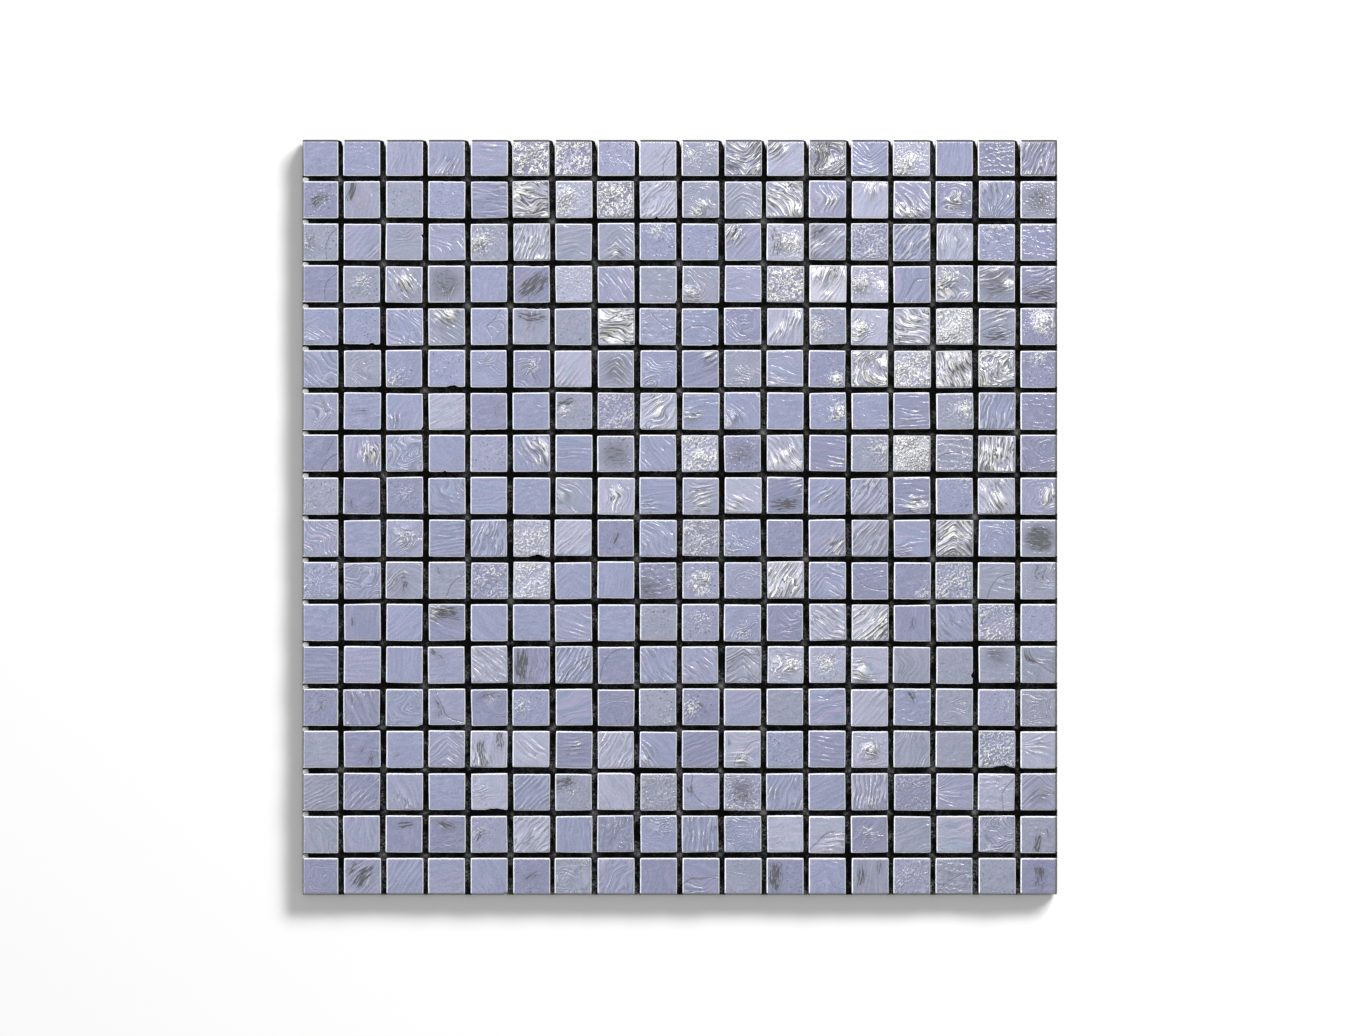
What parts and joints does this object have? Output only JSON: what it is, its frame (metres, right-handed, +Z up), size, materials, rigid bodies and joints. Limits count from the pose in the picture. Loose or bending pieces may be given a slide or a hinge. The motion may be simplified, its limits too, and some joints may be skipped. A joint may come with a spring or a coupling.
{
  "type": "glass mosaic tile sheet",
  "caption": "Square sheet of small square glass mosaic tiles, hand-worked and glossy, set in rows with open joints on a thin black backing.",
  "frame": {"origin": "under the middle of the sheet, on the surface that the backing lies on", "axes": "+Z up through the sheet to the glass faces, +X along a row from its first tile to its last, +Y from the last row to the first"},
  "size_m": [0.295, 0.295, 0.0048],
  "materials": {
    "glass": "gloss",
    "backing": "matte"
  },
  "bodies": {
    "root": {"tile_row_01": "glass", "tile_row_02": "glass", "tile_row_03": "glass", "tile_row_04": "glass", "tile_row_05": "glass", "tile_row_06": "glass", "tile_row_07": "glass", "tile_row_08": "glass", "tile_row_09": "glass", "tile_row_10": "glass", "tile_row_11": "glass", "tile_row_12": "glass", "tile_row_13": "glass", "tile_row_14": "glass", "tile_row_15": "glass", "tile_row_16": "glass", "tile_row_17": "glass", "tile_row_18": "glass", "backing_sheet": "backing"}
  },
  "joints": []
}
